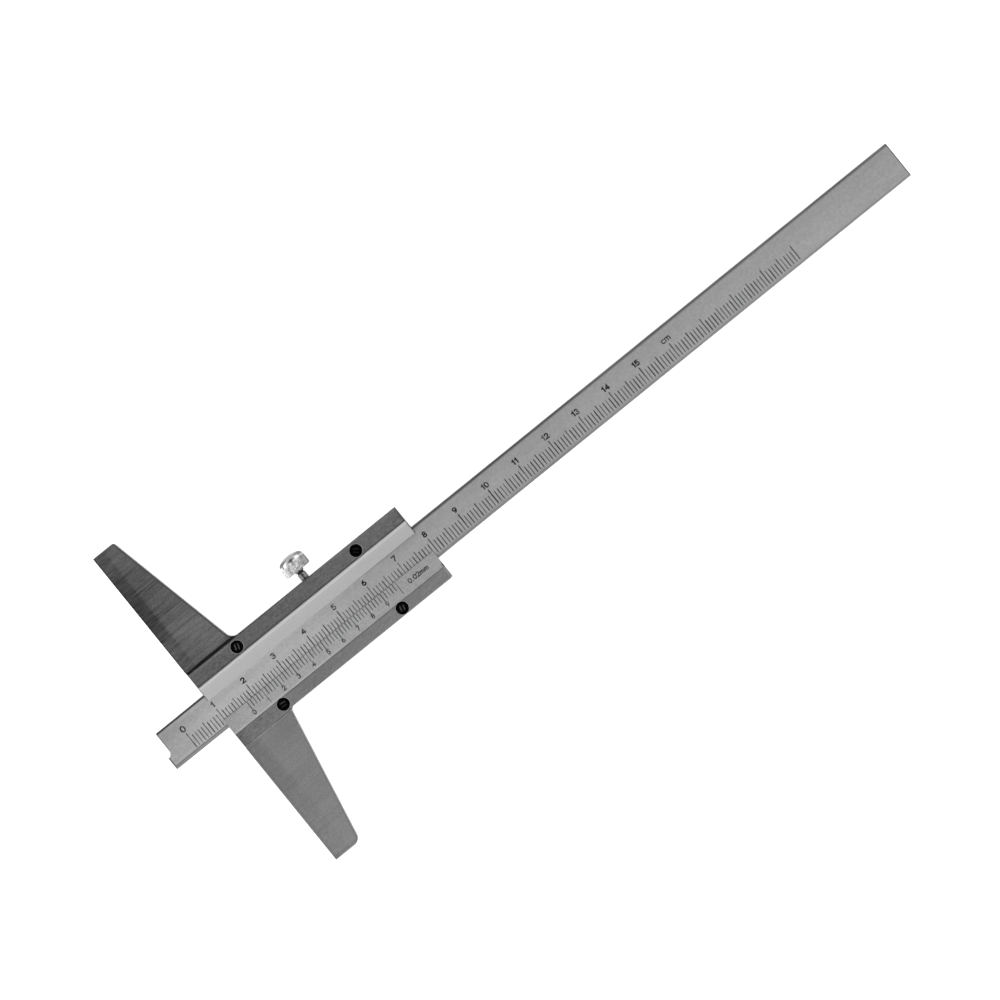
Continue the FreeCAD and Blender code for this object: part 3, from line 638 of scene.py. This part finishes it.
# a plain single-line face: each glyph is (advance, [(closed, points)]) on a unit height
def glyphs():
    a = arc_points
    g = {}
    g["0"] = (0.66, [(True, a(0.33, 0.5, 0.29, 0.5, 90, 450, 26)[:-1])])
    g["1"] = (0.46, [(False, [(0.06, 0.76), (0.30, 1.0), (0.30, 0.0)])])
    g["2"] = (0.66, [(False, a(0.32, 0.70, 0.28, 0.30, 165, -38, 14) + [(0.04, 0.0), (0.62, 0.0)])])
    g["3"] = (0.66, [(False, a(0.30, 0.745, 0.25, 0.255, 150, -85, 12)),
                     (False, a(0.30, 0.255, 0.30, 0.255, 85, -150, 12))])
    g["4"] = (0.70, [(False, [(0.50, 0.0), (0.50, 1.0), (0.04, 0.28), (0.68, 0.28)])])
    g["5"] = (0.66, [(False, [(0.58, 1.0), (0.14, 1.0), (0.08, 0.56)] + a(0.31, 0.32, 0.30, 0.32, 128, -150, 14))])
    g["6"] = (0.66, [(True, a(0.33, 0.29, 0.28, 0.29, 90, 450, 20)[:-1]),
                     (False, [(0.055, 0.33)] + a(0.60, 0.36, 0.545, 0.64, 168, 108, 8))])
    g["7"] = (0.64, [(False, [(0.04, 1.0), (0.60, 1.0), (0.24, 0.0)])])
    g["8"] = (0.66, [(True, a(0.33, 0.755, 0.225, 0.245, 90, 450, 18)[:-1]),
                     (True, a(0.33, 0.255, 0.285, 0.255, 90, 450, 20)[:-1])])
    g["9"] = (0.66, [(True, a(0.33, 0.71, 0.28, 0.29, 90, 450, 20)[:-1]),
                     (False, [(0.605, 0.67)] + a(0.06, 0.64, 0.545, 0.64, -12, -72, 8))])
    g["."] = (0.34, [(False, [(0.14, 0.02), (0.16, 0.02)])])
    g["c"] = (0.58, [(False, a(0.31, 0.32, 0.27, 0.32, 50, 310, 14))])
    g["m"] = (0.94, [(False, [(0.06, 0.0), (0.06, 0.64)]),
                     (False, a(0.25, 0.42, 0.19, 0.22, 180, 0, 8) + [(0.44, 0.0)]),
                     (False, a(0.63, 0.42, 0.19, 0.22, 180, 0, 8) + [(0.82, 0.0)])])
    return g


GLYPH = glyphs()


def write(bm, text, cx, y0, height, half, base, width=1.0, gap=0.08, lift=0.012, sink=0.02):
    """Text of single-line glyphs, centred at x = cx, standing on y = y0."""
    adv = [GLYPH[c][0] * width * height for c in text]
    total = sum(adv) + gap * height * (len(text) - 1)
    x = cx - total / 2
    k = 0
    for c, w in zip(text, adv):
        for closed, pts in GLYPH[c][1]:
            p = [(x + px * width * height, y0 + py * height) for px, py in pts]
            up = lift + 0.0008 * (k % 5)
            stroke(bm, p, half, lambda a, b, u=up: base(a, b) + u, lambda a, b: base(a, b) - sink, closed)
            k += 1
        x += w + gap * height


def tick(bm, x, ya, yb, half, base, lift=0.012, sink=0.02):
    loop = [(x - half, ya), (x + half, ya), (x + half, yb - half * 0.5), (x + half * 0.5, yb),
            (x - half * 0.5, yb), (x - half, yb - half * 0.5)]
    if yb < ya:
        loop = [(x - half, ya), (x - half, yb + half * 0.5), (x - half * 0.5, yb), (x + half * 0.5, yb),
                (x + half, yb + half * 0.5), (x + half, ya)]
    prism(bm, loop, lambda a, b: base(a, b) + lift, lambda a, b: base(a, b) - sink)


def beam_face(x, y):
    return BEAM_Z


def vern_face(x, y):
    t = (y - VERN_Y0) / (VERN_Y1 - VERN_Y0)
    return VERN_Z0 + (VERN_Z1 - VERN_Z0) * min(1.0, t)


def make_scales(ink, ink_v):
    # main scale: 200 mm of lines, centimetre numbers 0 to 15, then the unit
    bm = bmesh.new()
    for i in range(201):
        x = MAIN_ZERO + i
        if i % 10 == 0:
            top, half = 0.50, 0.124
        elif i % 5 == 0:
            top, half = 0.02, 0.116
        else:
            top, half = -0.66, 0.112
        # the lines sit a little lower on the beam past the slider, as the numbers do
        low = min(1.0, max(0.0, (x - 50) / 25.0))
        top -= 0.21 * low
        if x > 60:
            half += 0.014 * min(1.0, (x - 60) / 10.0)
        if i > 196:
            half *= 0.8
        half *= 1.0 + 0.16 * math.sin(2.4 * i) + 0.09 * math.sin(5.3 * i + 1.0)
        tick(bm, x, -4.08 - 0.10 * low, top, half, beam_face)
    main_lines = new_object("main_scale_lines", bm, ink)
    bm = bmesh.new()
    for n in range(16):
        y0, h = (1.25, 1.27) if n else (1.09, 1.51)
        y0 -= 0.28 * min(1.0, max(0.0, (n - 5) / 4.0))
        write(bm, str(n), MAIN_ZERO + 10 * n, y0, h, 0.185, beam_face, 1.22, 0.16)
    write(bm, "cm", MAIN_ZERO + 160, 1.05, 1.50, 0.145, beam_face, 1.12)
    main_numbers = new_object("main_scale_numbers", bm, ink)
    # vernier: 50 parts over 49 mm, numbers 0 to 9, the division value
    bm = bmesh.new()
    for i in range(51):
        x = VERN_ZERO + VERN_STEP * i
        end = -5.12
        if i % 5 == 0:
            end = -5.62
        if i == 50:
            end = -6.80
        tick(bm, x, VERN_Y0 - 0.02, end, 0.105 * (1.0 + 0.18 * math.sin(2.1 * i + 0.5)), vern_face)
    vern_lines = new_object("vernier_scale_lines", bm, ink_v)
    bm = bmesh.new()
    for n in range(10):
        write(bm, str(n), VERN_ZERO + VERN_STEP * 5 * n, -6.88, 1.12, 0.135, vern_face, 1.10)
    write(bm, "0.02mm", 62.75, -5.78, 1.15, 0.145, vern_face, 1.16, 0.14)
    vern_numbers = new_object("vernier_scale_numbers", bm, ink_v)
    return [(main_lines, "beam"), (main_numbers, "beam"), (vern_lines, "slider"), (vern_numbers, "slider")]


# ------------------------------------------------------------------ screws of the plates
def make_cover_screw(name, x, y, turn, mat, worn):
    """Slotted cheese-head screw with rounded rim, slightly crowned face and a threaded shank."""
    r, z0, z1 = 1.58, 6.25, 7.22
    rim = 0.20
    prof = [(0.0, 2.9), (0.62, 2.9), (0.80, 3.08)]
    z = 3.08
    while z < 5.95:                        # thread of the shank
        prof += [(0.80, z), (0.995, z + 0.16), (0.995, z + 0.22), (0.80, z + 0.38)]
        z += 0.40
    prof += [(0.86, 6.22), (0.86, z0), (r - 0.10, z0), (r, z0 + 0.10)]
    for i in range(6):
        a = math.radians(90 * i / 5)
        prof.append((r - rim + rim * math.cos(a), z1 - 0.04 - rim + rim * math.sin(a)))
    prof += [(r * 0.6, z1 - 0.014), (r * 0.25, z1 - 0.002), (0.0, z1)]
    clean = []
    for p in prof:
        if not clean or abs(p[0] - clean[-1][0]) + abs(p[1] - clean[-1][1]) > 1e-6:
            clean.append(p)
    bm = bmesh.new()
    lathe(bm, clean, lambda rr, h, a: (x + rr * math.cos(a), y + rr * math.sin(a), h), 72)
    o = new_object(name, bm, mat)
    o.data.materials.append(worn)
    # slot with broken, worn edges
    bm = bmesh.new()
    c, s = math.cos(math.radians(turn)), math.sin(math.radians(turn))
    hw, d = 0.270, 0.50
    k, e = 0.40, 0.16
    sect = [(-hw - k, z1 + 0.6), (-hw - k, z1 + 0.01), (-hw, z1 - e), (-hw, z1 - d + 0.06), (-hw + 0.06, z1 - d),
            (hw - 0.06, z1 - d), (hw, z1 - d + 0.06), (hw, z1 - e), (hw + k, z1 + 0.01), (hw + k, z1 + 0.6)]
    ends = []
    for ly in (-2.2, 2.2):
        ends.append([bm.verts.new(Vector((x + lx * c - ly * s, y + lx * s + ly * c, lz)) * MM) for lx, lz in sect])
    bm.faces.new(ends[0])
    bm.faces.new(ends[1][::-1])
    for i in range(len(sect)):
        j = (i + 1) % len(sect)
        f = bm.faces.new((ends[0][i], ends[1][i], ends[1][j], ends[0][j]))
        f.material_index = 1 if i in (1, 7) else 0
    cutter = new_object(name + "_cut", bm, mat)
    cutter.data.materials.append(worn)
    cut_with(o, cutter)
    sharp_by_angle(o, 32)
    return o



# ------------------------------------------------------------------ clamp screw
def make_clamp_screw(mat):
    """One turned piece along Y: threaded stem, neck groove, collar, knurled head with a rounded, domed end."""
    seg = 288
    R, y0, y1 = 3.72, 14.85, 17.68
    rs = 1.585                                  # rounding of the shoulder
    stem = 1.172
    teeth = 44
    depth = 0.18
    pitch = 0.45
    rows = []                                   # (y, radius function of the angle)

    def plain(r):
        return lambda a: r

    rows.append((5.92, plain(0.0)))
    rows.append((5.92, plain(stem - 0.36)))
    rows.append((6.12, plain(stem - 0.16)))
    # helical thread up to where it runs out, a few turns short of the neck
    n_thr = 132
    ya, yb = 6.15, 12.40
    for i in range(n_thr + 1):
        y = ya + (yb - ya) * i / n_thr
        fade = min(1.0, (y - ya) / 0.35, (yb - y) / 0.30)

        def thr(a, y=y, fade=fade):
            ph = (y / pitch - a / (2 * math.pi)) % 1.0
            t = abs(2 * ph - 1)                  # 1 at the root, 0 at the crest
            t = min(1.0, max(0.0, (t - 0.12) / 0.76))
            return stem - 0.20 * t * max(0.0, fade)
        rows.append((y, thr))
    rows += [(12.45, plain(stem)), (13.82, plain(stem)), (13.90, plain(stem - 0.04))]
    # relief groove, then the collar
    for i in range(7):
        t = i / 6
        rows.append((13.96 + 0.42 * t, plain(1.0 - 0.05 * math.sin(math.pi * t))))
    rows += [(14.47, plain(1.24)), (14.52, plain(1.295)), (14.80, plain(1.295)), (14.85, plain(1.34)), (14.85, plain(R - 0.62))]
    # knurled rim, diamond pattern, with a chamfer below and a plain edge above
    n_k = 66
    ka, kb = y0, y1 - 0.06
    for i in range(n_k + 1):
        y = ka + (kb - ka) * i / n_k
        lim = R
        if y - ka < 0.24:
            lim = R - 0.24 * (1 - (y - ka) / 0.24)
        ease = min(1.0, max(0.0, (y - ka - 0.10) / 0.18), max(0.0, (kb - y) / 0.60))

        def knurl(a, y=y, lim=lim, ease=ease):
            ph = a * teeth / (2 * math.pi)
            w = (y - ka) * teeth / (2 * math.pi * R) * math.tan(math.radians(30))
            p = abs(2 * ((ph + w) % 1.0) - 1)
            q = abs(2 * ((ph - w) % 1.0) - 1)
            d = max(0.0, (max(p, q) - 0.28) / 0.72)
            return min(lim, R - depth * d * ease)
        rows.append((y, knurl))
    # rounded shoulder and dome, tangent to each other 20 degrees from the axis
    a0 = math.radians(20.0)
    rd = rs + (R - rs) / math.sin(a0)
    yc = y1 + rs * math.cos(a0) - rd * math.cos(a0)
    for i in range(19):
        a = math.pi / 2 + (a0 - math.pi / 2) * i / 18
        rows.append((y1 + rs * math.cos(a), plain(R - rs + rs * math.sin(a))))
    for i in range(1, 11):
        a = a0 * (1 - i / 10)
        rows.append((yc + rd * math.cos(a), plain(rd * math.sin(a))))
    bm = bmesh.new()
    rings = []
    for y, f in rows:
        if f(0.0) < 1e-6:
            rings.append([bm.verts.new(Vector((CL_X, y, CL_Z)) * MM)])
        else:
            ring = []
            for i in range(seg):
                a = 2 * math.pi * i / seg
                r = f(a)
                ring.append(bm.verts.new(Vector((CL_X + r * math.sin(a), y, CL_Z + r * math.cos(a))) * MM))
            rings.append(ring)
    for a, b in zip(rings[:-1], rings[1:]):
        for i in range(seg):
            j = (i + 1) % seg
            if len(a) == 1:
                bm.faces.new((a[0], b[i], b[j]))
            elif len(b) == 1:
                bm.faces.new((a[i], b[0], a[j]))
            else:
                bm.faces.new((a[i], b[i], b[j], a[j]))
    o = new_object("clamp_screw_knurled", bm, mat)
    sharp_by_angle(o, 38)
    return o


# ------------------------------------------------------------------ light, floor, camera
def make_world():
    """Soft studio sky, paler towards the horizon, with two large soft boxes low at the back left and back right."""
    w = bpy.data.worlds.new("studio")
    S.world = w
    w.use_nodes = True
    nt = w.node_tree
    nt.nodes.clear()
    out = nt.nodes.new("ShaderNodeOutputWorld")
    bg = nt.nodes.new("ShaderNodeBackground")
    nt.links.new(bg.outputs[0], out.inputs[0])
    tc = nt.nodes.new("ShaderNodeTexCoord")

    def math_node(op, a, b):
        n = nt.nodes.new("ShaderNodeMath")
        n.operation = op
        for s, v in ((n.inputs[0], a), (n.inputs[1], b)):
            if isinstance(v, bpy.types.NodeSocket):
                nt.links.new(v, s)
            else:
                s.default_value = v
        return n.outputs[0]

    def map_node(v, lo, hi, a, b):
        n = nt.nodes.new("ShaderNodeMapRange")
        n.interpolation_type = "SMOOTHSTEP"
        nt.links.new(v, n.inputs["Value"])
        for k, val in (("From Min", lo), ("From Max", hi), ("To Min", a), ("To Max", b)):
            n.inputs[k].default_value = val
        return n.outputs["Result"]

    sep = nt.nodes.new("ShaderNodeSeparateXYZ")
    nt.links.new(tc.outputs["Generated"], sep.inputs[0])
    sx, sy, sz = sep.outputs
    # paler towards the horizon, most of all on the left (-X)
    low = map_node(sz, 0.0, 0.62, 1.0, 0.0)
    lift = math_node("MULTIPLY", low, math_node("ADD", 0.16, math_node("MULTIPLY", sx, -0.42)))
    sky = math_node("ADD", 0.86, lift)
    # soft boxes: (azimuth from +X, elevation, inner and outer half angle, strength)
    for az, el, inner, outer, power in ((154.0, 22.0, 13.0, 28.0, 0.22),
                                        (24.0, 26.0, 12.0, 24.0, 0.30)):
        d = (math.cos(math.radians(az)) * math.cos(math.radians(el)),
             math.sin(math.radians(az)) * math.cos(math.radians(el)), math.sin(math.radians(el)))
        dot = nt.nodes.new("ShaderNodeVectorMath")
        dot.operation = "DOT_PRODUCT"
        nt.links.new(tc.outputs["Generated"], dot.inputs[0])
        dot.inputs[1].default_value = d
        lobe = map_node(dot.outputs["Value"], math.cos(math.radians(outer)), math.cos(math.radians(inner)), 0.0, power)
        sky = math_node("ADD", sky, lobe)
    # darker wall behind the gauge (+Y) between the boxes, darkest in its middle, and a dark lens opening straight above
    high = map_node(sz, 0.30, 0.50, 0.0, 1.0)
    behind = math_node("MULTIPLY", high, map_node(sy, 0.12, 0.30, 0.0, 1.0))
    wide = math_node("MULTIPLY", behind, map_node(math_node("ABSOLUTE", sx, 0.0), 0.42, 0.64, 0.50, 0.0))
    core = math_node("MULTIPLY", behind, map_node(math_node("ABSOLUTE", sx, 0.0), 0.07, 0.19, 0.31, 0.0))
    gap = math_node("SUBTRACT", 1.0, math_node("ADD", wide, core))
    top = map_node(sz, 0.976, 0.995, 1.0, 0.10)
    sky = math_node("MULTIPLY", math_node("MULTIPLY", sky, gap), top)
    # what the rounded parts mirror from below the horizon: pale on the left, greyer on the right and towards the back
    below = map_node(sz, -0.06, 0.0, 1.0, 0.0)
    ground = map_node(sx, -0.20, 0.25, 1.15, 0.66)
    dusk = math_node("MULTIPLY", map_node(sy, 0.10, 0.34, 0.0, 1.0), map_node(math_node("ABSOLUTE", sx, 0.0), 0.16, 0.46, 0.0, 0.50))
    ground = math_node("MULTIPLY", ground, math_node("SUBTRACT", 1.0, dusk))
    sky = math_node("ADD", sky, math_node("MULTIPLY", below, math_node("SUBTRACT", ground, sky)))
    comb = nt.nodes.new("ShaderNodeCombineColor")
    for i in range(3):
        nt.links.new(sky, comb.inputs[i])
    nt.links.new(comb.outputs[0], bg.inputs["Color"])
    bg.inputs["Strength"].default_value = 1.0


def make_light(name, loc, target, size, power, glossy):
    li = bpy.data.lights.new(name, "AREA")
    li.shape = "DISK"
    li.size = size
    li.energy = power
    o = bpy.data.objects.new(name, li)
    S.collection.objects.link(o)
    o.location = loc
    o.rotation_euler = (Vector(target) - Vector(loc)).to_track_quat("-Z", "Y").to_euler()
    o.visible_glossy = glossy
    o.visible_camera = False
    return o


def make_floor():
    """Plain white light table: a matte disc that also glows a little, so that shadows stay faint."""
    bm = bmesh.new()
    n = 96
    rim = [bm.verts.new((0.09 + 5.0 * math.cos(2 * math.pi * i / n), 5.0 * math.sin(2 * math.pi * i / n), -0.00002)) for i in range(n)]
    bm.faces.new(rim)
    m = bpy.data.materials.new("pale_floor")
    m.use_nodes = True
    nt = m.node_tree
    nt.nodes.clear()
    out = nt.nodes.new("ShaderNodeOutputMaterial")
    dif = nt.nodes.new("ShaderNodeBsdfPrincipled")
    tr = nt.nodes.new("ShaderNodeBsdfTransparent")
    geo = nt.nodes.new("ShaderNodeNewGeometry")
    mix = nt.nodes.new("ShaderNodeMixShader")
    dif.inputs["Base Color"].default_value = (0.90, 0.90, 0.90, 1)
    dif.inputs["Roughness"].default_value = 1.0
    dif.inputs["Specular IOR Level"].default_value = 0.0
    dif.inputs["Emission Color"].default_value = (1, 1, 1, 1)
    dif.inputs["Emission Strength"].default_value = 0.62
    nt.links.new(geo.outputs["Backfacing"], mix.inputs[0])
    nt.links.new(dif.outputs[0], mix.inputs[1])
    nt.links.new(tr.outputs[0], mix.inputs[2])
    nt.links.new(mix.outputs[0], out.inputs[0])
    me = bpy.data.meshes.new("floor")
    bm.to_mesh(me)
    bm.free()
    me.materials.append(m)
    o = bpy.data.objects.new("floor", me)
    S.collection.objects.link(o)
    # left out of mirror images, so that the edges of the gauge stay crisp against the white ground
    o.visible_glossy = False
    return o


def make_camera():
    cam = bpy.data.cameras.new("camera")
    cam.type = "PERSP"
    cam.sensor_width = 36.0
    cam.lens = 250.0
    view_w = 257.7 * MM                     # what the frame spans at the gauge's front
    o = bpy.data.objects.new("camera", cam)
    S.collection.objects.link(o)
    o.location = (0.0911, -0.00369, 0.006 + view_w * cam.lens / cam.sensor_width)
    o.rotation_euler = (0.0, 0.0, math.radians(-38.995))
    cam.clip_start = 0.05
    cam.clip_end = 20.0
    S.camera = o
    return o


# ------------------------------------------------------------------ put it together
def set_material(node, mat):
    o = NODES[node]
    if len(o.material_slots) == 0:
        o.data.materials.append(mat)
    for s in o.material_slots:
        s.material = mat


make_camera()
make_world()
make_light("top_fill", (0.09, 0.0, 1.4), (0.09, 0.0, 0.0), 1.6, 9.0, False)
make_floor()

set_material("beam", make_beam_material())
set_material("base_frame", make_frame_material())
set_material("guide_plate", make_guide_material())
set_material("vernier_plate", make_vernier_material())
set_material("leaf_spring", make_spring_material())
nickel = make_nickel_material()
black = make_black_material("black_oxide_screws", 0.0008, 0.012)
worn_black = make_black_material("black_oxide_worn", 0.0720, 0.5, True)
set_material("clamp_screw", nickel)
for n in ("guide_screw_front", "guide_screw_rear", "vernier_screw_front", "vernier_screw_rear"):
    set_material(n, black)

for piece, body in make_scales(make_ink_material("scale_fill", 0.013, 0.14, 0.40), make_ink_material("vernier_fill", 0.030, 0.14)):
    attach(piece, body)

for node, x, y, turn in (("guide_screw_front", SCREW_X[0], SCREW_Y_UP, -20),
                         ("guide_screw_rear", SCREW_X[1], SCREW_Y_UP, 53),
                         ("vernier_screw_front", SCREW_X[0], SCREW_Y_LO, 82),
                         ("vernier_screw_rear", SCREW_X[1], SCREW_Y_LO, -16)):
    o = make_cover_screw(node + "_head", x, y, turn, black, worn_black)
    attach(o, "slider")
    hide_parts(node)

clamp = make_clamp_screw(nickel)
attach(clamp, "clamp")
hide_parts("clamp_screw")
